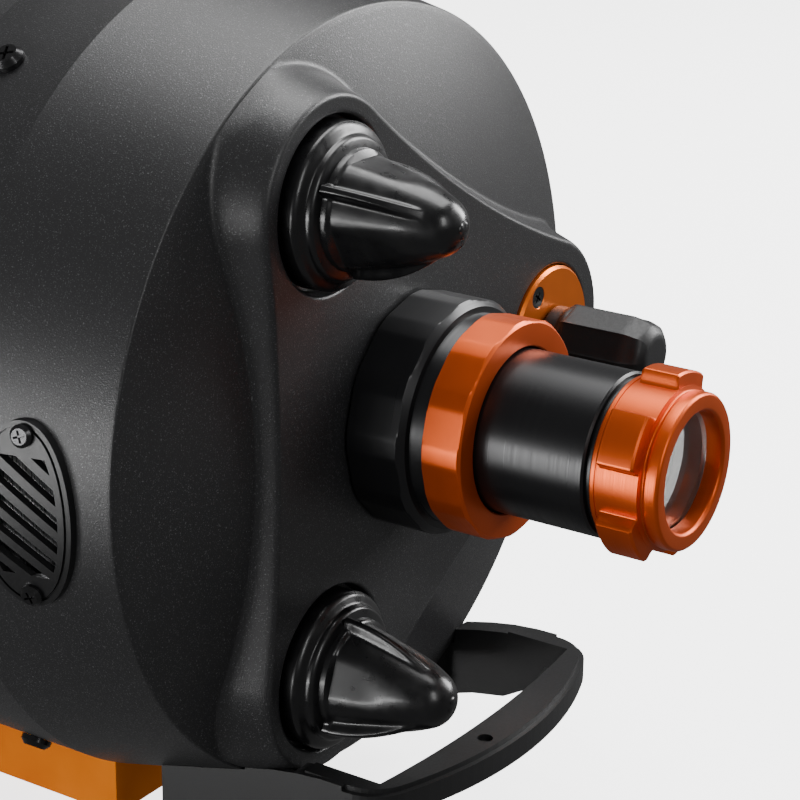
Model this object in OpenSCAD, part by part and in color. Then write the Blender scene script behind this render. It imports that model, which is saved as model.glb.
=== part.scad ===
// Rear-focusing Maksutov telescope tube, 203 mm aperture, with a camera adapter on its rear port.
// Every module is drawn about the optical axis: y runs toward the sky, y = 0 is the rim of the
// domed back, z is up. lift() then moves the piece so the underside of the mounting bar is z = 0.

/* [Optical tube] */
// outer radius of the aluminium tube
tube_r = 115.5; // [112:0.5:117]
// wall of the tube
tube_wall = 2.5; // [1.5:0.5:4]
// length of the tube
tube_len = 295; // [250:5:400]
// radius of the clear aperture
aperture_r = 101.5; // [95:0.5:102]

/* [Rear cell] */
// radius of the screwed flange around the tube
flange_r = 118.4; // [117.9:0.1:120]
// where the flange ends and the cone side begins
flange_y = 44.4; // [40:0.2:50]
// front edge of the flange
flange_end = 78; // [70:1:90]
// radius of the rim of the domed back
dome_r = 108.4; // [104:0.2:112]
// height of the dome
dome_rise = 16; // [10:0.5:20]
// distance from the optical axis to each control on the back
control_pitch = 75; // [70:0.5:78]
// radius of each lobe of the raised three-lobed face
lobe_r = 29; // [26:0.5:30]
// how far the sides between the lobes curve in
lobe_dip = 5; // [2:0.5:8]
// thickness of the casting
cell_wall = 5; // [4:0.5:7]

/* [Vents] */
// length of a vent along the tube
vent_len = 27; // [24:1:40]
// width of a vent around the tube
vent_width = 50; // [40:1:60]
// centre of the vents along the tube
vent_y = 23; // [20:0.5:26]
// centre of the vents below the axis
vent_drop = 3.5; // [0:0.5:6]
// slant of the slots
slot_slant = 36; // [20:5:60]
// width of one slot
slot_w = 3; // [2:0.2:5]
// distance from slot to slot
slot_pitch = 5.4; // [4:0.2:9]

/* [Focus drive] */
// radius of the round focus plate
plate_r = 21; // [18:0.5:23]
// how far the plate stands proud of the raised face
plate_proud = 1.2; // [0.5:0.1:3]
// radius of the focus knob across its corners
focus_knob_r = 11.2; // [9:0.2:14]
// rear end of the focus knob
focus_knob_end = 52.5; // [45:0.5:65]
// number of flats on the focus knob
focus_flats = 8; // [6:1:12]
// travel of the main mirror each way
mirror_travel = 10; // [5:1:12]

/* [Clutch knobs] */
// radius of the flange at the foot of each knob
clutch_flange_r = 22; // [18:0.2:22.6]
// radius of the body between the ribs
clutch_body_r = 15; // [13:0.2:17]
// outer radius of the ribs
clutch_rib_r = 18.2; // [17:0.2:20]
// rear end of the knobs
clutch_end = 55.2; // [50:0.1:62]
// number of ribs on each knob
clutch_ribs = 3; // [3:1:6]

/* [Camera adapter] */
// radius of the faceted port ring across its corners
port_ring_r = 33.4; // [31:0.2:35]
// radius of the coupling nut across its corners
nut_r = 30.8; // [29:0.2:32]
// outer radius of the adapter barrel
barrel_r = 22.4; // [22:0.1:24]
// radius over the lugs of the end ring
lug_r = 25.7; // [24:0.1:28]
// radius of the camera thread, M42
thread_r = 21; // [21:0.5:24]
// clear radius of the end opening
window_r = 16; // [14:0.5:17]

/* [Carrying handle] */
// height of the handle's side arms
handle_h = 22; // [18:1:26]
// top of the handle below the axis
handle_drop = 87; // [84:1:92]
// half width of the handle across its arms
handle_half = 57; // [54:0.5:60]
// how far the grip bows out behind the dome rim
handle_reach = 56.5; // [52:0.5:64]
// thickness of the side arms
handle_arm = 7; // [5:0.5:9]
// thickness of the grip
handle_grip = 8; // [6:0.5:12]
// radius of the grip's bow
handle_bow = 130; // [90:1:150]
// middle of the grip's inner edge behind the dome rim
handle_inner = 44.2; // [42:0.1:46]

/* [Mounting bar] */
// half width of the bar
bar_half = 38; // [35:0.5:51]
// underside of the bar below the axis
bar_drop = 135; // [128:1:150]
// rear end of the bar
bar_y = 61; // [50:1:70]
// length of the bar
bar_len = 310; // [250:5:330]

/* [Hidden] */
$fn = 96;

tube_y = 50;
tube_end = tube_y + tube_len;
fit = 0.05;
dome_R = (dome_r * dome_r + dome_rise * dome_rise) / (2 * dome_rise);
dome_c = dome_R - dome_rise;
face_y = -dome_rise;
bar_mid = bar_y + bar_len / 2;
clutch_x = -control_pitch / 2;
clutch_z = control_pitch * sqrt(3) / 2;
bar_top = sqrt(flange_r * flange_r - bar_half * bar_half);
cone_slope = (flange_r - dome_r) / flange_y;
cell_screw_angles = [55, 125, 235, 305];
plate_screw_turns = [-122, -2, 118];
plate_screw_r = 16.4;
finder_angle = 60;
meniscus_y = 334;
sky_R = 280;
inner_R = 290;
front_y = tube_end + 56;

charcoal = [0.17, 0.17, 0.18];
black = [0.05, 0.05, 0.055];
orange = [0.82, 0.30, 0.10];
bar_orange = [0.93, 0.50, 0.03];
steel = [0.62, 0.62, 0.64];
brass = [0.72, 0.56, 0.25];
glass = [0.70, 0.80, 0.85];

// Moves a piece from the optical axis to the frame of the whole telescope.
module lift() {
    translate([0, -bar_mid, bar_drop]) children();
}

// Turns a profile drawn as (radius, y) about the optical axis.
module turned() {
    rotate([-90, 0, 0]) rotate_extrude() children();
}

// Extrudes an outline drawn as (x, z) from y0 to y1.
module along_y(y0, y1) {
    translate([0, y1, 0]) rotate([90, 0, 0]) linear_extrude(y1 - y0) children();
}

// A plain rod along y, at (x, z).
module rod(r, y0, y1, x = 0, z = 0) {
    translate([x, y0, z]) rotate([-90, 0, 0]) cylinder(r = r, h = y1 - y0);
}

// Places a piece that points outward along +z at an angle around the tube.
module around(angle, r, y) {
    rotate([0, -angle, 0]) translate([r, y, 0]) rotate([0, 90, 0]) children();
}

// Pan head screw pointing outward: the head stands on z = 0 and the shank goes down.
module pan_screw(head_r, head_h, shank_r, shank_l) {
    difference() {
        union() {
            translate([0, 0, fit]) cylinder(r = head_r, h = head_h * 0.5, $fn = 48);
            translate([0, 0, fit + head_h * 0.5]) cylinder(r1 = head_r, r2 = head_r * 0.7,
                h = head_h * 0.5, $fn = 48);
            translate([0, 0, -shank_l]) cylinder(r = shank_r, h = shank_l + 0.5, $fn = 48);
        }
        cross_recess(head_r * 0.55, head_h + fit, head_h * 0.6);
    }
}

// Cross recess cut down from z = top.
module cross_recess(reach, top, depth) {
    for (turn = [0, 90]) {
        rotate([0, 0, turn + 20]) translate([-reach, -reach * 0.18, top - depth])
            cube([reach * 2, reach * 0.36, depth + 1]);
    }
}

// ---- rear cell ----

// Centre distance and radius of the arc that joins two lobes of radius r.
function dip_radius(r) = (pow(r - lobe_dip, 2) + pow(clutch_z, 2) - r * r) / (2 * lobe_dip);
function dip_reach(r) = dip_radius(r) + control_pitch / 2 + r - lobe_dip;

// Half of the angle that a lobe's own arc covers.
function lobe_angle(r) = atan2(dip_reach(r) * sin(60), dip_reach(r) * cos(60) - control_pitch);

// Outline of the raised face: three lobes joined by sides that curve in.
module lobed_face(r) {
    a = lobe_angle(r);
    swing = 120 - 2 * a;
    corner = [dip_reach(r) * cos(60), dip_reach(r) * sin(60)];
    polygon([for (turn = [0, 120, 240]) each concat(
        [for (i = [0:16]) turned_point([control_pitch + r * cos(a * (i / 8 - 1)),
            r * sin(a * (i / 8 - 1))], turn)],
        [for (i = [1:9]) turned_point(corner - dip_radius(r)
            * [cos(a + swing * i / 10), sin(a + swing * i / 10)], turn)])]);
}

// A point turned about the axis.
function turned_point(p, turn) = [p[0] * cos(turn) - p[1] * sin(turn),
    p[0] * sin(turn) + p[1] * cos(turn)];

// Solid bounded by the cone side, grown outward by extra.
module cone_side(extra) {
    turned() polygon([[0, -1], [dome_r + extra - cone_slope, -1],
        [flange_r + extra, flange_y], [flange_r + extra, flange_end], [0, flange_end]]);
}

module rear_cell() {
    color(charcoal) lift() difference() {
        union() {
            turned() polygon([[0, 0], [dome_r, 0], [flange_r, flange_y],
                [flange_r, flange_end], [0, flange_end]]);
            intersection() {
                translate([0, dome_c, 0]) sphere(r = dome_R, $fn = 256);
                rod(dome_r, -dome_rise - 1, 0.01);
            }
            along_y(face_y, 0.5) lobed_face(lobe_r);
            rod(31, -17.15, 0);
        }
        difference() {
            union() {
                turned() polygon([[0, 3.4], [dome_r - cell_wall - 4, 3.4],
                    [flange_r - cell_wall - 1, flange_y + 2], [tube_r - 3, tube_y - 2],
                    [tube_r - 3, tube_y], [tube_r + fit, tube_y],
                    [tube_r + fit, flange_end + 1], [0, flange_end + 1]]);
                intersection() {
                    translate([0, dome_c, 0]) sphere(r = dome_R - 6, $fn = 256);
                    rod(dome_r - cell_wall - 4.4, -dome_rise, 3.5);
                }
            }
            rod(36, face_y, 12);
            rod(13, face_y, 8, clutch_x, clutch_z);
            rod(13, face_y, 8, clutch_x, -clutch_z);
            rod(24, face_y, 0, control_pitch, 0);
        }
        rod(25 + fit, -30, 40);
        for (side = [-1, 1]) {
            rod(clutch_flange_r + 1.4, -30, -11, clutch_x, side * clutch_z);
            rod(7 + fit, -30, 40, clutch_x, side * clutch_z);
            vent_hole(side);
        }
        handle_screw_holes();
        rod(plate_r + 0.3, -30, -13, control_pitch, 0);
        rod(10, -30, 40, control_pitch, 0);
        for (turn = plate_screw_turns) {
            rotate_about_focus(turn) rod(1.5 + fit, -20, -2, plate_screw_r, 0);
        }
        for (angle = cell_screw_angles) {
            around(angle, 105, 64) cylinder(r = 2 + fit, h = 30, $fn = 48);
        }
        for (x = [-9, 9]) {
            around(finder_angle, 105, 62 + x) cylinder(r = 2 + fit, h = 30, $fn = 48);
        }
        bar_bolt_holes();
    }
}

module rotate_about_focus(turn) {
    translate([control_pitch, 0, 0]) rotate([0, turn, 0]) children();
}

// ---- vents ----

// Oval with its length along the tube, grown by extra.
module vent_oval(extra) {
    a = vent_len / 2 + extra;
    b = vent_width / 2 + extra;
    polygon([for (i = [0:71]) [a * cos(i * 5), b * sin(i * 5)]]);
}

// Prism of an outline drawn as (y, z), pushed out through one side of the cone.
module through_side(side) {
    translate([0, vent_y, -vent_drop]) mirror([side < 0 ? 1 : 0, 0, 0])
        translate([95, 0, 0]) rotate([90, 0, 90]) linear_extrude(30) children();
}

module vent_hole(side) {
    through_side(side) intersection() {
        vent_oval(-3.2);
        square([60, 33], center = true);
    }
    at_vent_screws(side) translate([0, 0, -14]) cylinder(r = 1.5 + fit, h = 20, $fn = 32);
}

module cone_shell(inner, outer) {
    difference() {
        cone_side(outer);
        cone_side(inner);
    }
}

module vent_grille(side) {
    difference() {
        intersection() {
            through_side(side) vent_oval(0);
            cone_shell(0.02, 2.2);
        }
        intersection() {
            through_side(side) difference() {
                vent_oval(-1.2);
                vent_oval(-1.9);
            }
            cone_shell(1.5, 4);
        }
        through_side(side) intersection() {
            vent_oval(-3.6);
            square([60, 32], center = true);
            rotate(slot_slant) for (i = [-3:3]) {
                translate([-40, i * slot_pitch - slot_w / 2]) square([80, slot_w]);
            }
        }
        at_vent_screws(side) translate([0, 0, -14]) cylinder(r = 1.5 + fit, h = 20, $fn = 32);
    }
}

module vent_grille_left() {
    color(black) lift() vent_grille(-1);
}

module vent_grille_right() {
    color(black) lift() vent_grille(1);
}

// Fine dust screen behind the slots, inside the casting.
module vent_mesh(side) {
    intersection() {
        through_side(side) difference() {
            vent_oval(-3.4);
            for (end = [-1, 1]) {
                translate([0, end * 31]) square([60, 30], center = true);
            }
        }
        cone_shell(-2.4, -1.6);
    }
}

module vent_mesh_left() {
    color(steel) lift() vent_mesh(-1);
}

module vent_mesh_right() {
    color(steel) lift() vent_mesh(1);
}

module vent_screws() {
    color(black) lift() for (side = [-1, 1]) {
        at_vent_screws(side) translate([0, 0, 2.2]) pan_screw(3, 1.8, 1.5, 6);
    }
}

// Places two pieces square to the cone side, above and below a vent's slots.
module at_vent_screws(side) {
    r = dome_r + cone_slope * vent_y;
    for (end = [-1, 1]) {
        lean = asin((end * 21 - vent_drop) / r);
        rotate([0, side < 0 ? lean - 180 : -lean, 0]) translate([r, vent_y, 0])
            rotate([0, 0, -atan(cone_slope)]) rotate([0, 90, 0]) children();
    }
}

// ---- tube and front cell ----

module main_tube() {
    color(charcoal) lift() difference() {
        rod(tube_r, tube_y, tube_end, 0, 0, $fn = 192);
        rod(tube_r - tube_wall, tube_y - 1, tube_end + 1, 0, 0, $fn = 192);
        for (angle = cell_screw_angles) {
            around(angle, 105, 64) cylinder(r = 2 + fit, h = 30, $fn = 48);
            around(angle, 105, tube_end - 10) cylinder(r = 2 + fit, h = 30, $fn = 48);
        }
        for (x = [-9, 9]) {
            around(finder_angle, 105, 62 + x) cylinder(r = 2 + fit, h = 30, $fn = 48);
        }
        bar_bolt_holes();
    }
}

module front_cell() {
    color(charcoal) lift() difference() {
        turned() polygon([[tube_r + fit, tube_end - 20], [flange_r, tube_end - 20],
            [flange_r, tube_end + 4], [flange_r + 2.4, tube_end + 10],
            [flange_r + 2.4, front_y - 3], [flange_r + 0.4, front_y],
            [aperture_r + 6, front_y], [aperture_r + 3.8, front_y - 8],
            [aperture_r + 3.8, tube_end + 5], [aperture_r + 0.3, tube_end + 5],
            [aperture_r + 0.3, tube_end], [tube_r + fit, tube_end]]);
        for (angle = cell_screw_angles) {
            around(angle, 105, tube_end - 10) cylinder(r = 2 + fit, h = 30, $fn = 48);
        }
        bar_bolt_holes();
    }
}

module meniscus_corrector() {
    color(glass, 0.4) lift() difference() {
        intersection() {
            rod(aperture_r + 3.5, meniscus_y - 1, meniscus_y + 60);
            translate([0, meniscus_y + inner_R, 0]) sphere(r = inner_R, $fn = 256);
        }
        translate([0, meniscus_y + 20 + sky_R, 0]) sphere(r = sky_R, $fn = 256);
    }
}

module corrector_gasket() {
    color(black) lift() turned() polygon([[aperture_r + 0.7, tube_end + 5 + fit],
        [aperture_r + 3.5, tube_end + 5 + fit], [aperture_r + 3.5, tube_end + 7.2],
        [aperture_r + 0.7, tube_end + 7.2]]);
}

module corrector_retaining_ring() {
    color(black) lift() turned() polygon([[aperture_r - 3.5, tube_end + 30],
        [aperture_r + 3.7, tube_end + 30], [aperture_r + 3.7, tube_end + 34],
        [aperture_r - 2, tube_end + 34]]);
}

module secondary_spot() {
    color([0.8, 0.8, 0.82]) lift() difference() {
        intersection() {
            rod(30, meniscus_y - 2, meniscus_y + 8);
            translate([0, meniscus_y + inner_R, 0]) sphere(r = inner_R + 1, $fn = 256);
        }
        translate([0, meniscus_y + inner_R, 0]) sphere(r = inner_R + fit, $fn = 256);
    }
}

module secondary_baffle() {
    color(black) lift() turned() polygon([[32.6, meniscus_y - 34], [34, meniscus_y - 34],
        [34, meniscus_y + 1.6], [37, meniscus_y + 1.6], [37, meniscus_y + 2], [32.6, meniscus_y + 1.7]]);
}

// ---- mirror and baffle ----

module baffle_tube() {
    color(black) lift() turned() polygon([[19, -15], [25, -15], [25, 12 + fit],
        [31, 12 + fit], [31, 16], [24, 16], [24, 100], [21, 190], [20.2, 190], [22, 100],
        [22, 20], [19, 14]]);
}

module primary_mirror() {
    color([0.75, 0.77, 0.8]) lift() difference() {
        rod(104, 52, 78);
        rod(28 + fit, 50, 80);
        translate([0, 71.6 + 1000, 0]) sphere(r = 1000, $fn = 512);
    }
}

module mirror_carrier() {
    color([0.55, 0.55, 0.57]) lift() difference() {
        turned() polygon([[24 + fit, 28], [34, 28], [34, 38], [84, 44], [84, 49], [44, 49],
            [44, 52 - fit], [28, 52 - fit], [28, 84], [24 + fit, 84]]);
        rod(6, 20, 60, control_pitch, 0);
        for (side = [-1, 1]) {
            rod(3, 20, 60, clutch_x, side * clutch_z);
        }
    }
}

module mirror_retaining_ring() {
    color(black) lift() turned() polygon([[28 + fit, 72.6], [36, 72.6], [34, 79], [28 + fit, 79]]);
}

module focus_nut() {
    color(brass) lift() difference() {
        union() {
            rod(8, 22, 41.5, control_pitch, 0, $fn = 48);
            intersection() {
                rod(12, 38, 60, control_pitch, 0, $fn = 48);
                turned() polygon([[60, 34], [60, 41 - fit], [84, 44 - fit], [95, 44 - fit], [95, 34]]);
            }
        }
        rod(4, 10, 60, control_pitch, 0, $fn = 48);
    }
}

module focus_screw() {
    color(steel) lift() translate([control_pitch, 0, 0]) turned() polygon([[0, -42],
        [3, -42], [3, -17.6], [5, -17.6], [5, -5.9], [7.5, -5.9], [7.5, -2], [3.95, -2],
        [3.95, 39], [3.4, 40], [0, 40]]);
}

module focus_bearing() {
    color(brass) lift() translate([control_pitch, 0, 0]) turned() polygon([[5 + fit, -17],
        [8, -17], [8, -12.5], [9.5, -12.5], [9.5, -6], [5 + fit, -6]]);
}

module focus_plate() {
    color(orange) lift() difference() {
        translate([control_pitch, 0, 0]) turned() polygon([[8 + fit, -13 - fit],
            [plate_r, -13 - fit], [plate_r, face_y - plate_proud + 0.8],
            [plate_r - 0.8, face_y - plate_proud], [8 + fit, face_y - plate_proud]]);
        for (turn = plate_screw_turns) {
            rotate_about_focus(turn) {
                rod(1.5 + fit, -20, -10, plate_screw_r, 0, $fn = 32);
                translate([plate_screw_r, face_y - plate_proud - 0.01, 0]) rotate([-90, 0, 0])
                    cylinder(r1 = 3.4, r2 = 1.5, h = 2.2, $fn = 48);
            }
        }
    }
}

module focus_plate_screws() {
    color(steel) lift() for (turn = plate_screw_turns) {
        rotate_about_focus(turn) translate([plate_screw_r, face_y - plate_proud, 0]) rotate([90, 0, 0])
            difference() {
                union() {
                    translate([0, 0, -2.1]) cylinder(r1 = 1.45, r2 = 3.25, h = 2, $fn = 48);
                    translate([0, 0, -10]) cylinder(r = 1.45, h = 8, $fn = 48);
                }
                cross_recess(1.7, 0, 1.1);
            }
    }
}

module focus_knob() {
    color(black) lift() translate([control_pitch, 0, 0]) difference() {
        union() {
            rod(8.8, -23, face_y - plate_proud - 0.5, $fn = 64);
            turned_flats(focus_flats) polygon([[0, -23], [9.8, -23], [focus_knob_r, -25],
                [focus_knob_r - 0.4, -focus_knob_end + 6], [8, -focus_knob_end + 1],
                [7, -focus_knob_end], [0, -focus_knob_end]]);
        }
        rod(3 + 0.03, -42.2, 0, $fn = 48);
    }
}

// Like turned(), but with flat sides.
module turned_flats(count) {
    rotate([-90, 0, 0]) rotate_extrude($fn = count) children();
}

// ---- clutches ----

// Radius of a knob's bullet outline at y, for a foot of radius r; the nose is a ball.
nose_r = 7.9;
nose_y = nose_r - clutch_end;
function bullet(r, y) = max(r * (1 - pow(max(0, -y - 20.6) / 36.5, 2.2)),
    abs(y - nose_y) < nose_r ? sqrt(pow(nose_r, 2) - pow(y - nose_y, 2)) : 0);

module clutch_knob(z, turn) {
    color(black) lift() translate([clutch_x, 0, z]) rotate([0, turn, 0]) difference() {
        union() {
            turned() polygon(concat([[0, -11.4], [clutch_flange_r - 0.4, -11.4],
                [clutch_flange_r, -12], [clutch_flange_r, -18.6], [clutch_flange_r - 0.6, -19.3],
                [19.4, -20.2], [18.7, -21.2], [18.2, -22.4], [16, -23.4]],
                [for (i = [0:31]) [bullet(clutch_body_r, -24 - i), -24 - i]],
                [[0, -clutch_end]]));
            for (i = [0:clutch_ribs - 1]) {
                rotate([0, i * 360 / clutch_ribs, 0]) rib();
            }
        }
        rod(4 + fit, -25, 0, $fn = 48);
        rod(5, -48, -25, $fn = 48);
    }
}

module rib() {
    translate([0, 0, -1.2]) linear_extrude(2.4)
        polygon(concat([[4, -20]], [for (i = [0:20]) [bullet(clutch_rib_r, -20.6 - i * 1.3),
            -20.6 - i * 1.3]], [[4, -46.6]]));
}

module upper_clutch_knob() {
    clutch_knob(clutch_z, -30);
}

module lower_clutch_knob() {
    clutch_knob(-clutch_z, -100);
}

module clutch_rods() {
    color(steel) lift() for (side = [-1, 1]) {
        translate([clutch_x, 0, side * clutch_z]) turned() polygon([[0, -38], [3.4, -38],
            [4, -37], [4, 36], [8, 36], [8, 41.8], [2.9, 41.8], [2.9, 49], [0, 49]]);
    }
}

module clutch_bushes() {
    color(brass) lift() for (side = [-1, 1]) {
        translate([clutch_x, 0, side * clutch_z]) turned() polygon([[4 + fit, -10.8],
            [7, -10.8], [7, 8 + fit], [11, 8 + fit], [11, 11], [4 + fit, 11]]);
    }
}

// ---- screws on the cells ----

module rear_cell_screws() {
    color(black) lift() for (angle = cell_screw_angles) {
        around(angle, flange_r, 64) pan_screw(4.4, 2.8, 2, 7);
    }
}

module front_cell_screws() {
    color(black) lift() for (angle = cell_screw_angles) {
        around(angle, flange_r, tube_end - 10) pan_screw(4.4, 2.8, 2, 7);
    }
}

// ---- mounting bar ----

bar_bolt_y = [68, tube_end - 14];

module bar_bolt_holes() {
    for (y = bar_bolt_y) {
        for (x = [-22, 22]) {
            translate([x, y, -bar_drop - 1]) cylinder(r = 3 + fit, h = 40, $fn = 48);
        }
    }
}

module dovetail_bar() {
    color(bar_orange) lift() difference() {
        along_y(bar_y, bar_y + bar_len) polygon([[-bar_half, -bar_drop], [bar_half, -bar_drop],
            [bar_half, -bar_top + 2], [-bar_half, -bar_top + 2]]);
        rod(flange_r + fit, bar_y - 1, bar_y + 400, 0, 0, $fn = 192);
        rod(flange_r + 2.6, tube_end + 3, bar_y + 400, 0, 0, $fn = 192);
        bar_bolt_holes();
        for (y = bar_bolt_y) {
            for (x = [-22, 22]) {
                translate([x, y, -bar_drop - 1]) cylinder(r = 5.6, h = 8, $fn = 48);
            }
        }
    }
}

module dovetail_bolts() {
    color(steel) lift() for (y = bar_bolt_y) {
        for (x = [-22, 22]) {
            translate([x, y, -bar_drop + 1]) difference() {
                union() {
                    cylinder(r = 5, h = 5.95, $fn = 48);
                    cylinder(r = 3, h = 26, $fn = 48);
                }
                translate([0, 0, -1]) cylinder(r = 2.9, h = 4, $fn = 6);
            }
        }
    }
}

// ---- handle ----

// Corner of the grip, where the arm's side turns into the bow.
grip_corner = 14;
grip_mid = handle_bow - handle_reach;
corner_x = handle_half - grip_corner;
corner_y = grip_mid - sqrt(pow(handle_bow - grip_corner, 2) - corner_x * corner_x);
corner_turn = atan2(grip_mid - corner_y, corner_x);

// Outer outline of the grip seen from above, shrunk by inset.
function grip_side(inset) = [for (i = [0:8])
    [corner_x + (grip_corner - inset) * cos(-corner_turn * i / 8),
        corner_y + (grip_corner - inset) * sin(-corner_turn * i / 8)]];
function grip_bow(inset) = [for (i = [1:23]) let (a = -corner_turn - i * (180 - 2 * corner_turn) / 24)
    [(handle_bow - inset) * cos(a), grip_mid + (handle_bow - inset) * sin(a)]];

module grip_outline(inset) {
    side = grip_side(inset);
    difference() {
        polygon(concat([[handle_half - inset, -20]], side, grip_bow(inset),
            [for (i = [8:-1:0]) [-side[i][0], side[i][1]]], [[inset - handle_half, -20]]));
        polygon(concat([for (i = [-10:10]) [i * (handle_half - handle_arm) / 10,
            i * i * 0.0357 - handle_inner]], [[handle_half - handle_arm, 0],
            [handle_arm - handle_half, 0]]));
    }
}

// Side arm: its outline is drawn as (y, z) below the top of the handle.
module handle_arms() {
    for (side = [-1, 1]) {
        translate([side > 0 ? handle_half - handle_arm : -handle_half, 0, -handle_drop])
            rotate([90, 0, 90]) linear_extrude(handle_arm)
                polygon([[-33, 0], [-26, -0.1], [-18, -0.8], [-10, -2.2], [0, -4.6], [10, -7.8],
                    [20, -11], [28, -14], [28, -33], [14, -31], [-8, -24], [-19, -handle_h],
                    [-26, -18], [-30.5, -13], [-33, -handle_grip]]);
        translate([side * 50.5 - 6.5, 2, -handle_drop - 33]) cube([13, 26, 24]);
    }
}

module handle() {
    color(black) lift() difference() {
        union() {
            translate([0, 0, -handle_drop - handle_grip]) linear_extrude(handle_grip - 1.5)
                grip_outline(0);
            translate([0, 0, -handle_drop - 1.6]) linear_extrude(1.6) grip_outline(1.5);
            handle_arms();
        }
        cone_side(fit);
        rod(lobe_r + 0.3, face_y - 1, 1, clutch_x, -clutch_z);
        translate([-12, -50, -handle_drop - 1.5]) cylinder(r = 2.2, h = 4, $fn = 32);
        handle_screw_holes();
    }
}

module handle_screw_holes() {
    for (side = [-1, 1]) {
        for (y = [8, 21]) {
            translate([side * 50.5, y, -handle_drop - 40]) cylinder(r = 2.5 + fit, h = 56, $fn = 48);
        }
    }
}

module handle_screws() {
    color(black) lift() for (side = [-1, 1]) {
        for (y = [8, 21]) {
            translate([side * 50.5, y, -handle_drop - 33]) mirror([0, 0, 1])
                pan_screw(4.5, 3, 2.5, 28);
        }
    }
}

// ---- camera adapter ----

module port_ring() {
    color(black) lift() difference() {
        union() {
            intersection() {
                turned_flats(12) polygon([[0, -17.2], [port_ring_r, -17.2], [port_ring_r, -31.2],
                    [port_ring_r - 2.4, -34.4], [0, -34.4]]);
                rod(port_ring_r - 0.6, -40, -10, $fn = 128);
            }
            rod(29, -38.7, -33, $fn = 128);
            rod(26.45, -41.8, -38, $fn = 128);
        }
        rod(20, -50, 0);
        rod(25.3, -22, 0);
    }
}

module coupling_nut() {
    color(orange) lift() difference() {
        intersection() {
            turned_flats(12) polygon([[0, -38.9], [nut_r, -38.9], [nut_r, -49.6],
                [nut_r - 1, -50.6], [0, -50.6]]);
            rod(nut_r - 0.5, -60, -30, $fn = 128);
        }
        rod(26.5, -46, -30, $fn = 128);
        rod(barrel_r + 0.4, -60, -40, $fn = 128);
    }
}

module adapter_barrel() {
    color(black) lift() turned() polygon([[17, -41.95], [26, -41.95], [26, -45.8],
        [barrel_r, -45.8], [barrel_r, -81.9], [barrel_r - 0.6, -82.5], [20.8, -82.5],
        [20.8, -84], [18.4, -84], [18.4, -93.6], [17, -93.6]]);
}

module end_ring() {
    color(orange) lift() difference() {
        union() {
            turned() polygon([[0, -84.1], [21.6, -84.1], [22, -84.5], [22, -98], [20.4, -98.4],
                [20.4, -99], [thread_r, -99.4], [thread_r, -102.6], [thread_r - 0.6, -103.2],
                [0, -103.2]]);
            for (i = [0:4]) {
                rotate([0, -(3.5 + i * 72), 0]) lug();
            }
        }
        rod(18.45, -98, -80, $fn = 96);
        rod(window_r, -110, -80, $fn = 96);
    }
}

module lug() {
    intersection() {
        difference() {
            rod(lug_r, -98, -88, $fn = 128);
            rod(20, -99, -87, $fn = 96);
        }
        along_y(-99, -87) polygon([[18, -5.2], [26.5, -8.6], [26.5, 8.6], [18, 5.2]]);
    }
}

module end_window() {
    color(glass, 0.5) lift() rod(18.3, -97.9, -95.9);
}

module window_retainer() {
    color(steel) lift() turned() polygon([[15.8, -95.8], [18.35, -95.8], [18.35, -93.8],
        [16.6, -93.8], [16.6, -88], [15.8, -88]]);
}

// ---- finder shoe ----

module finder_shoe() {
    color(black) lift() difference() {
        around(finder_angle, flange_r - 3, 62) translate([-16, -15, 0]) cube([32, 30, 15]);
        rod(flange_r + fit, 40, 90, 0, 0, $fn = 192);
        around(finder_angle, flange_r, 62) rotate([90, 0, 0]) translate([0, 0, -20])
            linear_extrude(40) polygon([[-8, 13], [-8, 9.5], [-11, 4], [11, 4], [8, 9.5], [8, 13]]);
        for (x = [-9, 9]) {
            around(finder_angle, 105, 62 + x) cylinder(r = 2 + fit, h = 30, $fn = 48);
        }
    }
}

module finder_shoe_screws() {
    color(steel) lift() for (x = [-9, 9]) {
        around(finder_angle, flange_r + 4, 62 + x) pan_screw(3.6, 2.2, 2, 11);
    }
}

rear_cell();
main_tube();
front_cell();
meniscus_corrector();
corrector_gasket();
corrector_retaining_ring();
secondary_spot();
secondary_baffle();
baffle_tube();
primary_mirror();
mirror_carrier();
mirror_retaining_ring();
focus_nut();
focus_screw();
focus_bearing();
focus_plate();
focus_plate_screws();
focus_knob();
upper_clutch_knob();
lower_clutch_knob();
clutch_rods();
clutch_bushes();
vent_grille_left();
vent_grille_right();
vent_mesh_left();
vent_mesh_right();
vent_screws();
rear_cell_screws();
front_cell_screws();
dovetail_bar();
dovetail_bolts();
handle();
handle_screws();
port_ring();
coupling_nut();
adapter_barrel();
end_ring();
end_window();
window_retainer();
finder_shoe();
finder_shoe_screws();
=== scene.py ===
import math

import bmesh
import bpy
from mathutils import Matrix, Vector


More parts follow.
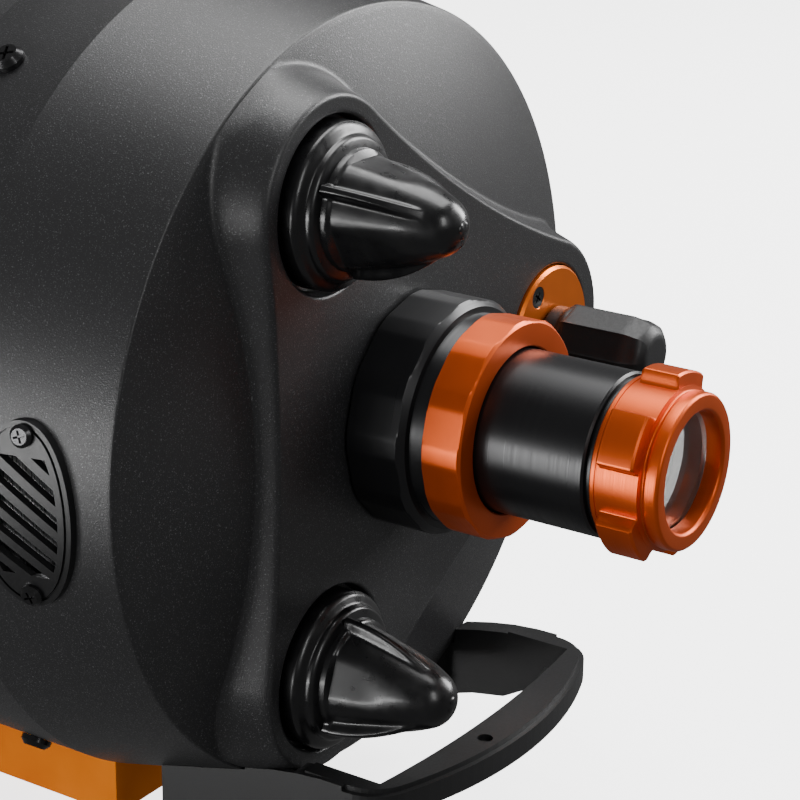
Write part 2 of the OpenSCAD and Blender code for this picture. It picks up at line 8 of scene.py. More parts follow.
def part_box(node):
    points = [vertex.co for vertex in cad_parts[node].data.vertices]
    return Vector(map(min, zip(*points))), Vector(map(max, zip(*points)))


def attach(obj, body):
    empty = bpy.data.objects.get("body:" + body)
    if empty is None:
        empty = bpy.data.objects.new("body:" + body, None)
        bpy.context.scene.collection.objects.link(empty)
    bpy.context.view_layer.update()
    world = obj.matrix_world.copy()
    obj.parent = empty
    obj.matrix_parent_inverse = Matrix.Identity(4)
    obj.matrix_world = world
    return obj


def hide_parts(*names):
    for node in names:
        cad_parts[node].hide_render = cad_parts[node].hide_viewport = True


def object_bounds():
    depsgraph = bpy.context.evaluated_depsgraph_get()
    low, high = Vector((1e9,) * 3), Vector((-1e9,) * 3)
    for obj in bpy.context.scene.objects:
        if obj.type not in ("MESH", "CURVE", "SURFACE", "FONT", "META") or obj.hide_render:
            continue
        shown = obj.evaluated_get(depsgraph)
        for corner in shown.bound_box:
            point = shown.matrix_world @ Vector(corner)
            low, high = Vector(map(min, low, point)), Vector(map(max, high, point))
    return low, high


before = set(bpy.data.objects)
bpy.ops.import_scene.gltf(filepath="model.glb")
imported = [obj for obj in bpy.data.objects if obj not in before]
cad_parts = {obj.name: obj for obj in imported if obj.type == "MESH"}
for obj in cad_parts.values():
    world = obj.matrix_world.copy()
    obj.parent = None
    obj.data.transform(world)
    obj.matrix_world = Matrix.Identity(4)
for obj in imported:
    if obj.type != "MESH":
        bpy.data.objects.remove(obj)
cad_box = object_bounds()

# ---------------------------------------------------------------------------------------------
# Places. Shapes are drawn in millimetres about the optical axis: y = 0 is the rim of the domed
# back, -y points out of the back, x is right seen from behind and z is up.
# ---------------------------------------------------------------------------------------------

MM = 0.001
TURN = 2 * math.pi
TUBE_START = 50
tube_low, tube_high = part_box("main_tube")
TUBE_R = (tube_high.z - tube_low.z) / 2 / MM
AXIS_Z = (tube_low.z + tube_high.z) / 2
RIM_Y = tube_low.y - TUBE_START * MM

DOME_R = 108.4
DOME_RISE = 16.0
SPHERE_R = (DOME_R ** 2 + DOME_RISE ** 2) / (2 * DOME_RISE)
FLANGE_R = 118.4
FLANGE_Y = 44.4
FLANGE_END = 78.0
# distance from the axis to each of the three controls
PITCH = 75.0
CLUTCH_X = -PITCH / 2
CLUTCH_Z = PITCH * math.sqrt(3) / 2
# the raised face: radius of a lobe, and how far its sides curve in
LOBE_R = 29.0
LOBE_DIP = 5.0
CONE_SLOPE = (FLANGE_R - DOME_R) / FLANGE_Y
VENT_Y = 23.0
VENT_Z = -3.5


def at(x, y, z):
    """A point about the optical axis, in the frame."""
    return Vector((x * MM, RIM_Y + y * MM, AXIS_Z + z * MM))


# ---------------------------------------------------------------------------------------------
# Mesh tools
# ---------------------------------------------------------------------------------------------

def new_object(name, points, faces, material, sharp=30.0):
    """A smooth-shaded mesh whose edges stay sharp above an angle."""
    mesh = bpy.data.meshes.new(name)
    mesh.from_pydata(points, [], faces)
    mesh.validate()
    work = bmesh.new()
    work.from_mesh(mesh)
    bmesh.ops.remove_doubles(work, verts=work.verts, dist=2e-6)
    bmesh.ops.recalc_face_normals(work, faces=work.faces)
    limit = math.radians(sharp)
    for face in work.faces:
        face.smooth = True
    for edge in work.edges:
        edge.smooth = len(edge.link_faces) == 2 and edge.calc_face_angle(0) < limit
    work.to_mesh(mesh)
    work.free()
    obj = bpy.data.objects.new(name, mesh)
    bpy.context.scene.collection.objects.link(obj)
    mesh.materials.append(material)
    return obj


def place(obj, body, slot, *nodes):
    """Fixes a piece to its body and hides the CAD nodes that it stands for."""
    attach(obj, body)
    if nodes:
        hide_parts(*nodes)
    return obj


def bevel(obj, width):
    """Rounds the edges of a CAD node, with a width in millimetres."""
    mod = obj.modifiers.new("bevel", "BEVEL")
    mod.width = width * MM
    mod.segments = 3
    mod.limit_method = "ANGLE"
    mod.angle_limit = math.radians(30)
    mod.harden_normals = True


def strip(low, high):
    """The faces between two closed rows of points."""
    steps = len(low)
    return [(low[i], low[(i + 1) % steps], high[(i + 1) % steps], high[i]) for i in range(steps)]


def lathe(name, profile, material, steps, centre, shape, sharp):
    """Turns (radius, y) points about a line along y. shape(r, y, angle) gives the radius."""
    cx, cz = centre
    points, faces, rows = [], [], []
    for r, y in profile:
        if r < 1e-6:
            rows.append([len(points)])
            points.append(at(cx, y, cz))
            continue
        row = []
        for i in range(steps):
            a = TURN * i / steps
            radius = shape(r, y, a)
            row.append(len(points))
            points.append(at(cx + radius * math.cos(a), y, cz + radius * math.sin(a)))
        rows.append(row)
    for low, high in zip(rows, rows[1:]):
        if len(low) == 1 and len(high) == 1:
            continue
        if len(low) == 1:
            faces += [(low[0], high[(i + 1) % steps], high[i]) for i in range(steps)]
        elif len(high) == 1:
            faces += [(low[i], low[(i + 1) % steps], high[0]) for i in range(steps)]
        else:
            faces += strip(low, high)
    return new_object(name, points, faces, material, sharp)


def spaced(a, b, count):
    """count + 1 numbers from a to b."""
    return [a + (b - a) * i / count for i in range(count + 1)]


def rounded(profile, radius, steps=4):
    """Rounds every corner of a (radius, y) profile but its two ends."""
    out = [profile[0]]
    for before, here, after in zip(profile, profile[1:], profile[2:]):
        p, a, b = Vector(here), Vector(before), Vector(after)
        reach = min(radius, (a - p).length * 0.45, (b - p).length * 0.45)
        start = p + (a - p).normalized() * reach
        end = p + (b - p).normalized() * reach
        for i in range(steps + 1):
            t = i / steps
            q = start * (1 - t) ** 2 + p * 2 * t * (1 - t) + end * t ** 2
            out.append((q.x, q.y))
    out.append(profile[-1])
    return out


def smooth_min(a, b, k):
    """The smaller number, with a rounded change from one to the other."""
    h = max(k - abs(a - b), 0.0) / k
    return min(a, b) - h * h * k / 4


def smooth_max(a, b, k):
    return -smooth_min(-a, -b, k)


def clamp(value):
    """The value, kept from 0 to 1."""
    return min(1.0, max(0.0, value))


def ease(share):
    """Runs from 0 to 1 with a level start and end."""
    return share * share * (3 - 2 * share)


def apart(a, b):
    """The angle between two directions, from 0 to half a turn."""
    return abs((a - b + math.pi) % TURN - math.pi)


# ---------------------------------------------------------------------------------------------
# Materials
# ---------------------------------------------------------------------------------------------

def principled(name, color, metallic, roughness):
    """A new material and its shader."""
    material = bpy.data.materials.new(name)
    material.use_nodes = True
    shader = material.node_tree.nodes["Principled BSDF"]
    shader.inputs["Base Color"].default_value = (*color, 1)
    shader.inputs["Metallic"].default_value = metallic
    shader.inputs["Roughness"].default_value = roughness
    return material, shader


def node(material, kind, **inputs):
    """A new shader node; an underscore in an input's name stands for a space."""
    made = material.node_tree.nodes.new(kind)
    for key, value in inputs.items():
        made.inputs[key.replace("_", " ")].default_value = value
    return made


def link(material, source, target):
    material.node_tree.links.new(source, target)


def noise(material, scale, detail=2.0, rough=0.5, stretch=None):
    """Noise over the object's own coordinates; scale is in features a metre."""
    made = node(material, "ShaderNodeTexNoise", Scale=scale, Detail=detail, Roughness=rough)
    source = node(material, "ShaderNodeTexCoord").outputs["Object"]
    if stretch:
        mapping = node(material, "ShaderNodeMapping", Scale=stretch)
        link(material, source, mapping.inputs["Vector"])
        source = mapping.outputs["Vector"]
    link(material, source, made.inputs["Vector"])
    return made.outputs["Fac"]


def ramp(material, source, stops):
    """Turns a value into a colour, or into a grey where a stop has one number."""
    made = node(material, "ShaderNodeValToRGB")
    bar = made.color_ramp
    while len(bar.elements) < len(stops):
        bar.elements.new(0.5)
    for element, (where, color) in zip(bar.elements, stops):
        element.position = where
        element.color = (*color, 1) if len(color) == 3 else (color[0],) * 3 + (1,)
    link(material, source, made.inputs["Fac"])
    return made.outputs["Color"]


def tones(base, *stops):
    """Stops of a ramp as shades of one colour: each is (place on the ramp, brightness)."""
    return [(where, tuple(min(1, c * bright) for c in base)) for where, bright in stops]


def greys(level, *stops):
    """Stops of a ramp as shares of one grey: each is (place on the ramp, share)."""
    return [(where, (level * share,)) for where, share in stops]


def bump(material, shader, height, strength, distance):
    made = node(material, "ShaderNodeBump", Strength=strength, Distance=distance)
    link(material, height, made.inputs["Height"])
    link(material, made.outputs["Normal"], shader.inputs["Normal"])


def spotted(material, factor, ground, spots):
    """A colour socket with spots of one colour over it."""
    made = material.node_tree.nodes.new("ShaderNodeMix")
    made.data_type = "RGBA"
    color_a, color_b, color_out = made.inputs[6], made.inputs[7], made.outputs[2]
    link(material, factor, made.inputs["Factor"])
    link(material, ground, color_a)
    color_b.default_value = (*spots, 1)
    return color_out


def powder_coat(name, base, fleck, roughness):
    """Fine textured paint with small, faint bright grains."""
    material, shader = principled(name, base, 0.0, roughness)
    grain = noise(material, 2600, 2.0, 0.6)
    cloud = noise(material, 9, 2.0)
    tone = ramp(material, cloud, tones(base, (0.3, 0.9), (0.7, 1.1)))
    flecks = ramp(material, grain, [(0.60, (0, 0, 0)), (0.76, (1, 1, 1))])
    link(material, spotted(material, flecks, tone, fleck), shader.inputs["Base Color"])
    rough = ramp(material, grain, [(0.3, (roughness + 0.05,)), (0.72, (roughness - 0.12,))])
    link(material, rough, shader.inputs["Roughness"])
    bump(material, shader, grain, 0.5, 0.00014)
    shader.inputs["Specular IOR Level"].default_value = 0.5
    return material


def gloss_plastic(name, base, roughness):
    """Hard plastic with a clear skin."""
    material, shader = principled(name, base, 0.0, roughness)
    cloud = noise(material, 60, 3.0)
    link(material, ramp(material, cloud, tones(base, (0.3, 0.7), (0.75, 1.5))),
         shader.inputs["Base Color"])
    wear = noise(material, 260, 4.0)
    link(material, ramp(material, wear, greys(roughness, (0.3, 0.8), (0.8, 1.5))),
         shader.inputs["Roughness"])
    bump(material, shader, noise(material, 700, 2.0), 0.12, 0.0001)
    shader.inputs["Coat Weight"].default_value = 0.15
    shader.inputs["Coat Roughness"].default_value = 0.12
    return material


def satin(name, base, roughness, metallic=0.0, grain_scale=1500, depth=0.00006, strength=0.3,
          specular=0.5):
    """An even, finely grained surface: rubber, plastic or a smooth coat."""
    material, shader = principled(name, base, metallic, roughness)
    shader.inputs["Specular IOR Level"].default_value = specular
    cloud = noise(material, 35, 3.0)
    link(material, ramp(material, cloud, tones(base, (0.3, 0.82), (0.72, 1.2))),
         shader.inputs["Base Color"])
    grain = noise(material, grain_scale, 3.0, 0.6)
    link(material, ramp(material, grain, greys(roughness, (0.25, 0.85), (0.75, 1.2))),
         shader.inputs["Roughness"])
    bump(material, shader, grain, strength, depth)
    return material


def turned_metal(name, base, roughness, metallic=1.0, lines=2600, depth=0.00003):
    """Anodised or plain metal with fine lathe lines that run around the axis."""
    material, shader = principled(name, base, metallic, roughness)
    stripes = noise(material, 1.0, 2.0, 0.6, stretch=(6, lines, 6))
    cloud = noise(material, 45, 3.0)
    link(material, ramp(material, cloud, tones(base, (0.3, 0.88), (0.7, 1.08))),
         shader.inputs["Base Color"])
    link(material, ramp(material, stripes, greys(roughness, (0.3, 0.85), (0.7, 1.2))),
         shader.inputs["Roughness"])
    bump(material, shader, stripes, 0.25, depth)
    return material


def clear_glass(name, tint, roughness=0.02):
    """Glass with a faint, uneven polish."""
    material, shader = principled(name, tint, 0.0, roughness)
    shader.inputs["Transmission Weight"].default_value = 1.0
    shader.inputs["IOR"].default_value = 1.47
    cloud = noise(material, 30, 2.0)
    link(material, ramp(material, cloud, greys(roughness, (0.3, 1), (0.8, 2))),
         shader.inputs["Roughness"])
    return material


PAINT = powder_coat("charcoal_powder_coat", (0.017, 0.017, 0.018), (0.15, 0.15, 0.155), 0.42)
GLOSS = gloss_plastic("gloss_black_plastic", (0.003, 0.003, 0.0035), 0.3)
RUBBER = satin("black_rubber", (0.004, 0.004, 0.0045), 0.48, 0.0, 1300, 0.00006, 0.3)
BLACK_PLASTIC = satin("black_plastic", (0.009, 0.009, 0.0095), 0.36)
BLACK_METAL = turned_metal("black_anodised", (0.008, 0.008, 0.009), 0.32, 0.3, 2600, 0.000008)
HANDLE = satin("handle_black", (0.009, 0.009, 0.0095), 0.42, 0.0, 1700, 0.00008, 0.35)
SCREW = satin("black_oxide", (0.03, 0.03, 0.031), 0.2, 0.7)
ORANGE = turned_metal("orange_anodised", (0.62, 0.085, 0.008), 0.36, 0.7)
PLATE = turned_metal("orange_plate", (0.80, 0.17, 0.012), 0.32, 0.75)
BAR = satin("orange_bar", (1.0, 0.21, 0.0), 0.5, 0.0, 1900, 0.00004, 0.25, specular=0.2)
STEEL = turned_metal("steel", (0.50, 0.50, 0.51), 0.28)
ALUMINIUM = turned_metal("aluminium", (0.62, 0.62, 0.63), 0.35)
BRASS = turned_metal("brass", (0.62, 0.44, 0.16), 0.3)
MIRROR = turned_metal("mirror_coat", (0.92, 0.93, 0.94), 0.03, 1.0, 900, 0.000002)
GLASS = clear_glass("optical_glass", (0.96, 0.99, 0.98))
WINDOW = clear_glass("window_glass", (0.97, 0.97, 0.95))


# ---------------------------------------------------------------------------------------------
# Rear cell
# ---------------------------------------------------------------------------------------------

# Each side of the raised face is an arc about SIDE_CENTRE that meets the lobes' arcs.
RISE = LOBE_R - LOBE_DIP
SIDE_ARC = (RISE ** 2 + CLUTCH_Z ** 2 - LOBE_R ** 2) / (2 * LOBE_DIP)
SIDE_REACH = SIDE_ARC + PITCH / 2 + RISE
SIDE_CENTRE = Vector((SIDE_REACH * math.cos(math.pi / 3), SIDE_REACH * math.sin(math.pi / 3)))
LOBE_TURN = math.atan2(SIDE_CENTRE.y, SIDE_CENTRE.x - PITCH)


def inside_face(x, z):
    """How far a point lies inside the edge of the raised three-lobed face."""
    angle = math.atan2(z, x)
    third = TURN / 3
    angle -= third * round(angle / third)
    r = math.hypot(x, z)
    p = Vector((r * math.cos(angle), abs(r * math.sin(angle))))
    from_lobe = p - Vector((PITCH, 0))
    if abs(math.atan2(from_lobe.y, from_lobe.x)) < LOBE_TURN:
        return LOBE_R - from_lobe.length
    return (p - SIDE_CENTRE).length - SIDE_ARC


# the wall round the raised face: its steepness, and the rounding at its top and its foot
WALL_SLOPE = 3.0
TOP_ROUND = 2.2
FOOT_ROUND = 3.2
# x, z and radius of each recess, and the height of its floor above the rim's plane
RECESSES = {
    "upper_clutch_recess": (CLUTCH_X, CLUTCH_Z, 23.4, 11.0),
    "lower_clutch_recess": (CLUTCH_X, -CLUTCH_Z, 23.4, 11.0),
    "focus_recess": (PITCH, 0.0, 21.3, 13.0),
}
RIM_WIDTH = 2.2
LIP = 1.1


def back_height(x, z):
    """Height of the domed back above the plane of its rim."""
    r2 = x * x + z * z
    dome = math.sqrt(SPHERE_R ** 2 - r2) - (SPHERE_R - DOME_RISE)
    room = DOME_RISE - dome
    wall = room + WALL_SLOPE * (inside_face(x, z) - 0.4)
    raised = smooth_min(room, wall, TOP_ROUND)
    return dome + smooth_max(raised, 0.0, FOOT_ROUND)


def recess_rim(name, cx, cz, radius, floor):
    """Rounded lip, wall and floor of a round recess in the raised face."""
    steps = 360
    points, rows = [], []
    depth = DOME_RISE - floor
    # each row is a radius and a drop below the face; None stays on the face
    profile = [(radius + RIM_WIDTH, None), (radius + RIM_WIDTH - 0.4, None),
               (radius + LIP + 0.4, None)]
    profile += [(radius + LIP - LIP * math.sin(u), LIP * (1 - math.cos(u)))
                for u in spaced(0.0, math.pi / 2, 8)]
    profile += [(radius, depth - 0.5), (radius - 0.4, depth), (9.0, depth)]
    for r, drop in profile:
        rows.append([len(points) + i for i in range(steps)])
        for i in range(steps):
            a = TURN * i / steps
            x, z = cx + r * math.cos(a), cz + r * math.sin(a)
            surface = back_height(x, z)
            y = surface if drop is None else max(min(surface, DOME_RISE) - drop, floor)
            points.append(at(x, -y, z))
    faces = [face for low, high in zip(rows, rows[1:]) for face in strip(low, high)]
    rim = new_object(name, points, faces, PAINT, 50)
    thick = rim.modifiers.new("wall", "SOLIDIFY")
    thick.thickness = 1.2 * MM
    thick.offset = -1
    return place(rim, "tube", "charcoal_paint", "rear_cell")


def rear_skin():
    """The casting's outside: domed back, cone side and flange, as one thin shell."""
    steps, rings = ((720, 166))
    radii = spaced(25.2, DOME_R - 1.6, rings)
    points, faces, rows = [], [], []

    def add_row(ring):
        rows.append(list(range(len(points), len(points) + steps)))
        points.extend(ring)

    def ring_at(r, y):
        return [at(r * math.cos(TURN * i / steps), y, r * math.sin(TURN * i / steps))
                for i in range(steps)]

    for r in radii:
        ring = []
        for i in range(steps):
            a = TURN * i / steps
            x, z = r * math.cos(a), r * math.sin(a)
            ring.append(at(x, -back_height(x, z), z))
        add_row(ring)
    edge = rounded([(DOME_R - 1.5, -0.25), (DOME_R, 0), (DOME_R + 1.4 * CONE_SLOPE, 1.4)],
                   1.1, 4)
    for r, y in edge[1:]:
        add_row(ring_at(r, y))
    for y in spaced(2.2, FLANGE_Y - 0.5, 44):
        add_row(ring_at(DOME_R + CONE_SLOPE * y, y))
    flange = [(FLANGE_R - 0.05, FLANGE_Y - 0.25), (FLANGE_R, FLANGE_Y), (FLANGE_R, 60.0),
              (FLANGE_R, FLANGE_END), (TUBE_R + 0.3, FLANGE_END)]
    for r, y in rounded(flange, 0.5, 3):
        add_row(ring_at(r, y))
    for low, high in zip(rows, rows[1:]):
        faces += strip(low, high)
    kept = [f for f in faces if not in_vent(points[f[0]])]
    skin = new_object("rear_cell_skin", points, kept, PAINT, 40)
    for cx, cz, radius, _ in RECESSES.values():
        punch(skin, cx, cz, radius + RIM_WIDTH)
    thick = skin.modifiers.new("wall", "SOLIDIFY")
    thick.thickness = 2.4 * MM
    thick.offset = -1
    return place(skin, "tube", "charcoal_paint", "rear_cell")


# halvings that find where an edge crosses a circle, and the least share of it that is cut off
HALVINGS = 24
SHORTEST = 0.002


def punch(obj, cx, cz, radius):
    """Cuts a clean round hole in the domed face: edges are split where they cross the circle."""
    middle = at(cx, 0, cz)
    work = bmesh.new()
    work.from_mesh(obj.data)
    reach = radius * MM

    def off(point):
        return math.hypot(point.x - middle.x, point.z - middle.z)

    inner = {v for v in work.verts if v.co.y < RIM_Y - 1 * MM and off(v.co) < reach}
    edges = [e for v in inner for e in v.link_edges if e.other_vert(v) not in inner]
    made = {}
    for edge in set(edges):
        a, b = edge.verts
        if a not in inner:
            a, b = b, a
        low, high = 0.0, 1.0
        for _ in range(HALVINGS):
            mid = (low + high) / 2
            if off(a.co.lerp(b.co, mid)) < reach:
                low = mid
            else:
                high = mid
        share = min(max((low + high) / 2, SHORTEST), 1 - SHORTEST)
        _, vert = bmesh.utils.edge_split(edge, a, share)
        made[vert] = True
    for face in [f for f in work.faces if sum(v in made for v in f.verts) == 2]:
        pair = [v for v in face.verts if v in made]
        if not any(e.other_vert(pair[0]) == pair[1] for e in pair[0].link_edges):
            bmesh.utils.face_split(face, pair[0], pair[1])
    bmesh.ops.delete(work, geom=list(inner), context="VERTS")
    for vert in made:
        p = vert.co
        vert.co.y = RIM_Y - back_height(p.x / MM, (p.z - AXIS_Z) / MM) * MM
    for edge in work.edges:
        if len(edge.link_faces) != 2:
            edge.smooth = False
    work.to_mesh(obj.data)
    work.free()


def in_vent(point):
    """Is a point of the skin behind a vent's slots?"""
    x = point.x / MM
    y = (point.y - RIM_Y) / MM - VENT_Y
    z = (point.z - AXIS_Z) / MM - VENT_Z
    return abs(x) > 95 and (y / 8.8) ** 2 + (z / 20) ** 2 < 1 and abs(z) < 16.5


rear_skin()
for rim_name, recess in RECESSES.items():
    recess_rim(rim_name, *recess)


# ---------------------------------------------------------------------------------------------
# Clutch knobs
# ---------------------------------------------------------------------------------------------

NOSE_R = 8.2
NOSE_Y = -47.0
KNOB_TOP = -20.6
# length over which the ribs run out, their crest at the knob's foot and their half thickness
RIB_LENGTH = 36.5
RIB_CREST = 18.2
RIB_HALF = 1.4


def knob_body(y):
    """Radius between the ribs of a clutch knob, which runs smoothly into the ball of its nose."""
    down = KNOB_TOP - y
    if y > NOSE_Y - 3.4:
        return 16.2 - 0.12 * down - 0.0058 * down * down
    return math.sqrt(max(NOSE_R ** 2 - (y - NOSE_Y) ** 2, 0.0))


def knob_crest(y):
    """Radius over the ribs."""
    return RIB_CREST * (1 - clamp((KNOB_TOP - y) / RIB_LENGTH) ** 2.2)


def clutch_knob(name, centre, rib_angles, node_name, body):
    """A stepped foot, then a bullet with three ribs and flatter panels between them."""
    def shape(r, y, a):
        if y > -22.9:
            return r
        full = knob_body(y)
        crest = max(knob_crest(y), full)
        off = min(apart(a, math.radians(rib)) for rib in rib_angles)
        sunk = ease(clamp((-24.4 - y) / 0.8) * clamp((y + 48.0) / 15.0))
        flat = smooth_min(full * 0.95, full * 0.86 / math.cos(math.pi / 3 - off), 0.8)
        panel = full + (flat - full) * sunk
        return panel + (crest - panel) / (1 + (off * crest / RIB_HALF) ** 6)

    foot = rounded([(0, -11.5), (21.4, -11.5), (22.0, -12.2), (22.0, -18.6), (21.2, -19.5),
                    (19.5, -20.2), (18.9, -20.6), (18.8, -21.7), (18.2, -22.4), (16.6, -22.8)],
                   0.6, 4)
    body_rows = [(16, y) for y in spaced(-22.95, -50.3, 76)]
    nose = [(5, NOSE_Y - NOSE_R * math.sin(u)) for u in spaced(0.45, 1.49, 24)]
    tip = [(0, NOSE_Y - NOSE_R)]
    knob = lathe(name, foot + body_rows + nose + tip, GLOSS, 360, centre, shape, 45)
    return place(knob, body, "gloss_black_plastic", node_name)


clutch_knob("upper_clutch_body", (CLUTCH_X, CLUTCH_Z), (30, 150, 270),
            "upper_clutch_knob", "upper_clutch")
clutch_knob("lower_clutch_body", (CLUTCH_X, -CLUTCH_Z), (100, 220, 340),
            "lower_clutch_knob", "lower_clutch")


# ---------------------------------------------------------------------------------------------
# Focus knob, with flats
# ---------------------------------------------------------------------------------------------

def flats(count):
    """Shapes a turned radius into flats whose corners reach it."""
    sector = TURN / count

    def shape(r, y, a):
        off = a % sector - sector / 2
        return r * math.cos(sector / 2) / math.cos(off)
    return shape


def focus_knob():
    """A rubber grip with eight soft flats."""
    grip_y, end_y = -23.4, -52.4
    sector = TURN / 8
    row_gap = 0.8

    def shape(r, y, a):
        if y > grip_y:
            return r
        off = abs(a % sector - sector / 2) / (sector / 2)
        depth = clamp((grip_y - y) / 1.5) * clamp((y + 52.0) / 4.0)
        return r * (1 - 0.085 * (1 - off ** 2.0) ** 0.8 * depth)

    profile = rounded([(3.2, -17.8), (8.8, -17.8), (9.2, -18.4), (9.2, -22.4), (10.2, -23.5),
                       (11.2, -25.0), (11.2, -45.6), (9.6, -50.3), (6.9, -52.1), (5.6, end_y),
                       (0.0, end_y)], 1.6, 5)
    rows = []
    for (r0, y0), (r1, y1) in zip(profile, profile[1:]):
        count = max(1, int(abs(y1 - y0) / row_gap))
        rows += [(r0 + (r1 - r0) * i / count, y0 + (y1 - y0) * i / count) for i in range(count)]
    knob = lathe("focus_knob_body", rows + [(0.0, end_y)], RUBBER, 320, (PITCH, 0), shape, 40)
    place(knob, "focus_drive", "rubber", "focus_knob")


focus_knob()


# ---------------------------------------------------------------------------------------------
# Camera adapter
# ---------------------------------------------------------------------------------------------

def chamfered_flats(count, turned_r, cones):
    """Flats with turned corners and cone-cut ends.

    cones lists (y, radius there, change of radius a millimetre).
    """
    prism = flats(count)

    def shape(r, y, a):
        radius = smooth_min(prism(r, y, a), turned_r, 0.15)
        for where, size, change in cones:
            radius = min(radius, size + change * (y - where))
        return radius
    return shape


def port_ring():
    """The black faceted ring on the rear port, with the spigot that takes the nut."""
    base, corner, front = -17.25, 33.4, -34.3
    shape_flats = chamfered_flats(12, 32.75, [(front, 30.8, 1.15), (base, 32.9, -1.6)])

    def shape(r, y, a):
        return shape_flats(r, y, a) if r > 32 and y >= front else r

    rows = [(corner, y) for y in spaced(base, front, 60)]
    spigot = [(30.6, front - 0.05), (29.0, front - 0.1), (28.9, -38.6), (26.5, -38.65),
              (26.4, -41.7), (20.2, -41.8), (20.0, -30), (20.0, -22.1), (25.3, -22), (25.4, base)]
    profile = [(25.4, base)] + rows + rounded(spigot, 0.3, 2)
    ring = lathe("port_ring_body", profile, BLACK_METAL, 480, (0, 0), shape, 20)
    place(ring, "tube", "black_anodised", "port_ring")


def coupling_nut():
    """The orange faceted nut that holds the barrel to the port."""
    base, corner, front = -38.95, 30.8, -50.55
    shape_flats = chamfered_flats(12, 30.25, [(front, 29.3, 1.3), (base, 30.0, -1.4)])

    def shape(r, y, a):
        return shape_flats(r, y, a) if r > 29.6 else r

    rows = [(corner, y) for y in spaced(base, front, 48)]
    bore = [(29.0, front - 0.03), (23.3, front - 0.03), (22.85, front + 0.4), (22.85, -46.1),
            (26.5, -46), (26.55, base)]
    profile = [(26.55, base)] + rows + rounded(bore, 0.3, 2)
    nut = lathe("coupling_nut_body", profile, ORANGE, 480, (0, 0), shape, 20)
    place(nut, "nut", "orange_anodised", "coupling_nut")


LUGS = [3.5 + 72 * i for i in range(5)]
LUG_FRONT, LUG_BACK = -97.9, -86.9
LUG_R = 25.65
# half the width of a lug round the ring and the width of its flank, at the radius LUG_MID
LUG_HALF, LUG_FLANK, LUG_MID = 8.6, 1.8, 24


def end_ring():
    """The orange ring with five lugs, a stepped front rim and the seat of the window."""
    def shape(r, y, a):
        if r < 21.9 or not LUG_FRONT < y < LUG_BACK:
            return r
        off = min(apart(a, math.radians(lug)) for lug in LUGS) * LUG_MID
        height = ease(clamp((LUG_HALF - off) / LUG_FLANK))
        ends = min(1.0, (y - LUG_FRONT) / 0.8, (LUG_BACK - y) / 0.8)
        return r + (LUG_R - r) * height * (0.8 + 0.2 * ends)

    near = [(22.0, -84.6), (22.0, -85.6), (21.75, -85.75), (21.75, -86.05), (22.0, -86.2)]
    lugged = [(22.0, y) for y in spaced(-86.85, -97.95, 40)]
    front = [(22.0, -98.0), (20.6, -98.3), (20.4, -98.9), (21.0, -99.4), (21.0, -102.5),
             (20.4, -103.2), (16.8, -103.2), (16.1, -102.5), (16.0, -98.2), (18.45, -98.05),
             (18.45, -84.2)]
    profile = [(18.5, -84.15), (21.6, -84.15)] + near + lugged + rounded(front, 0.35, 3)
    ring = lathe("end_ring_body", profile, ORANGE, 480, (0, 0), shape, 28)
    place(ring, "camera_end", "orange_anodised", "end_ring")


port_ring()
coupling_nut()
end_ring()


# ---------------------------------------------------------------------------------------------
# CAD nodes that keep their shape
# ---------------------------------------------------------------------------------------------

# material and bevel width of each node
LOOKS = {
    "main_tube": (PAINT, 0), "front_cell": (PAINT, 0.8),
    "meniscus_corrector": (GLASS, 0), "end_window": (WINDOW, 0),
    "secondary_spot": (MIRROR, 0), "primary_mirror": (MIRROR, 0.5),
    "corrector_gasket": (RUBBER, 0), "corrector_retaining_ring": (BLACK_METAL, 0.4),
    "secondary_baffle": (BLACK_METAL, 0), "baffle_tube": (BLACK_METAL, 0.3),
    "mirror_retaining_ring": (BLACK_METAL, 0.5), "mirror_carrier": (ALUMINIUM, 0.4),
    "focus_nut": (BRASS, 0.3), "focus_bearing": (BRASS, 0.3), "clutch_bushes": (BRASS, 0.3),
    "focus_screw": (STEEL, 0.2), "clutch_rods": (STEEL, 0.3),
    "focus_plate": (PLATE, 0.35), "focus_plate_screws": (SCREW, 0.15),
    "vent_grille_left": (BLACK_PLASTIC, 0.35), "vent_grille_right": (BLACK_PLASTIC, 0.35),
    "vent_mesh_left": (STEEL, 0), "vent_mesh_right": (STEEL, 0),
    "vent_screws": (SCREW, 0.6), "rear_cell_screws": (SCREW, 0.9),
    "front_cell_screws": (SCREW, 0.5), "handle_screws": (SCREW, 0.5), "handle": (HANDLE, 1.4),
    "dovetail_bar": (BAR, 0.6), "dovetail_bolts": (STEEL, 0.3),
    "adapter_barrel": (BLACK_METAL, 0.35), "window_retainer": (ALUMINIUM, 0.2),
    "finder_shoe": (BLACK_METAL, 0.6), "finder_shoe_screws": (STEEL, 0.3),
}


for name, (material, width) in LOOKS.items():
    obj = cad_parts[name]
    obj.data.materials.clear()
    obj.data.materials.append(material)
    if width:
        bevel(obj, width)


# ---------------------------------------------------------------------------------------------
# Stage
# ---------------------------------------------------------------------------------------------

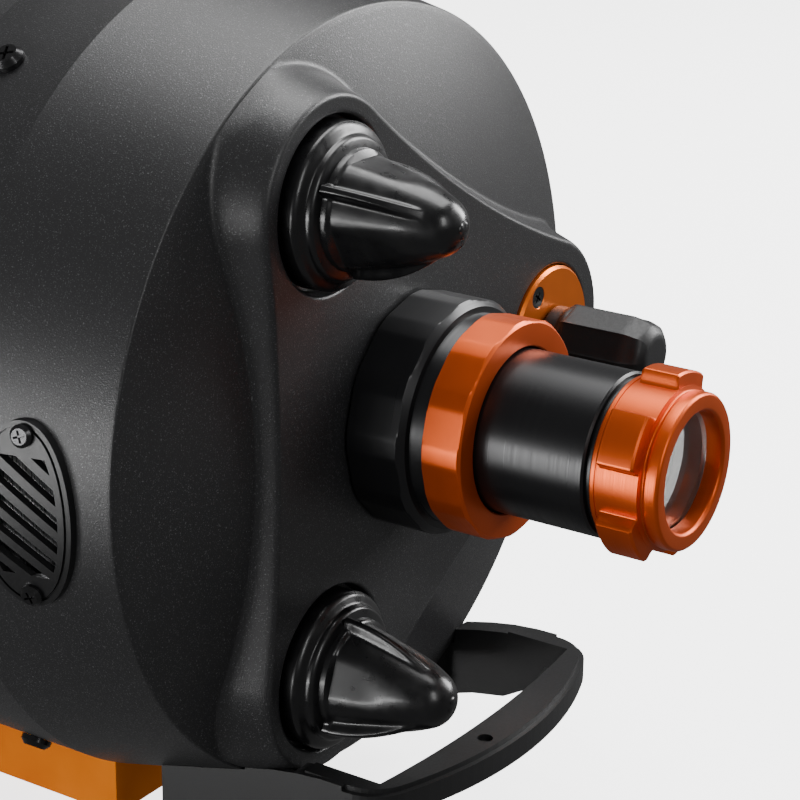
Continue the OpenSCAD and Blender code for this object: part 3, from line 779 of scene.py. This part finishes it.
def stage():
    """A pale floor that glows a little to the camera alone, under a dim white sky."""
    low = min(cad_box[0].z, 0.0)
    mesh = bpy.data.meshes.new("floor")
    size = 6.0
    corners = [(-size, -size, low), (size, -size, low), (size, size, low), (-size, size, low)]
    mesh.from_pydata(corners, [], [(0, 1, 2, 3)])
    floor = bpy.data.objects.new("floor", mesh)
    bpy.context.scene.collection.objects.link(floor)
    material, shader = principled("floor", (0.95, 0.95, 0.95), 0.0, 0.9)
    shader.inputs["Emission Color"].default_value = (1, 1, 1, 1)
    shader.inputs["Emission Strength"].default_value = 3.0
    mesh.materials.append(material)
    floor.visible_diffuse = False
    floor.visible_glossy = False

    world = bpy.data.worlds.new("studio")
    bpy.context.scene.world = world
    world.use_nodes = True
    world.node_tree.nodes["Background"].inputs["Color"].default_value = (1, 1, 1, 1)
    world.node_tree.nodes["Background"].inputs["Strength"].default_value = 0.16


def soft_light(name, offset, aim, size, power):
    """A rectangular light; offset and aim are measured from the middle of the domed back's rim."""
    middle = at(0, 0, 0)
    start, target = middle + Vector(offset), middle + Vector(aim)
    data = bpy.data.lights.new(name, "AREA")
    data.shape = "RECTANGLE"
    data.size, data.size_y = size
    data.energy = power
    light = bpy.data.objects.new(name, data)
    bpy.context.scene.collection.objects.link(light)
    light.location = start
    light.rotation_mode = "QUATERNION"
    light.rotation_quaternion = (target - start).to_track_quat("-Z", "Y")


# the camera's azimuth, elevation and roll in degrees, its place and its lens
CAMERA_ANGLES = (-56.84, 20.0, 0.843)
CAMERA_PLACE = (-532.05, -360.12, 231.95)
LENS = 110.6


def camera():
    """Looks at the back of the tube from its left and a little above."""
    azimuth, elevation, roll = (math.radians(v) for v in CAMERA_ANGLES)
    back = Vector((math.sin(azimuth) * math.cos(elevation),
                   -math.cos(azimuth) * math.cos(elevation), math.sin(elevation)))
    right = Vector((math.cos(azimuth), math.sin(azimuth), 0))
    up = back.cross(right)
    across = right * math.cos(roll) + up * math.sin(roll)
    upward = up * math.cos(roll) - right * math.sin(roll)
    data = bpy.data.cameras.new("camera")
    data.sensor_width = 36
    data.lens = LENS
    obj = bpy.data.objects.new("camera", data)
    bpy.context.scene.collection.objects.link(obj)
    facing = Matrix((across, upward, back)).transposed().to_4x4()
    obj.matrix_world = Matrix.Translation(at(*CAMERA_PLACE)) @ facing
    data.clip_start, data.clip_end = 0.02, 50
    bpy.context.scene.camera = obj


stage()
camera()
soft_light("top", (0.5, 0.1, 1.6), (0, 0, 0), (1.2, 1.2), 36)
soft_light("right", (1.5, -0.8, 0.8), (0, 0, 0), (0.7, 1.2), 52)
soft_light("left_low", (-1.7, 0.9, -0.35), (0, 0, 0), (0.7, 0.9), 22)
soft_light("floor_strip", (-1.1, 0.3, -0.07), (0, 0.2, -0.1), (0.9, 0.1), 5)
soft_light("front", (-0.9, -1.6, 1.0), (0, 0, 0), (0.5, 0.9), 10)
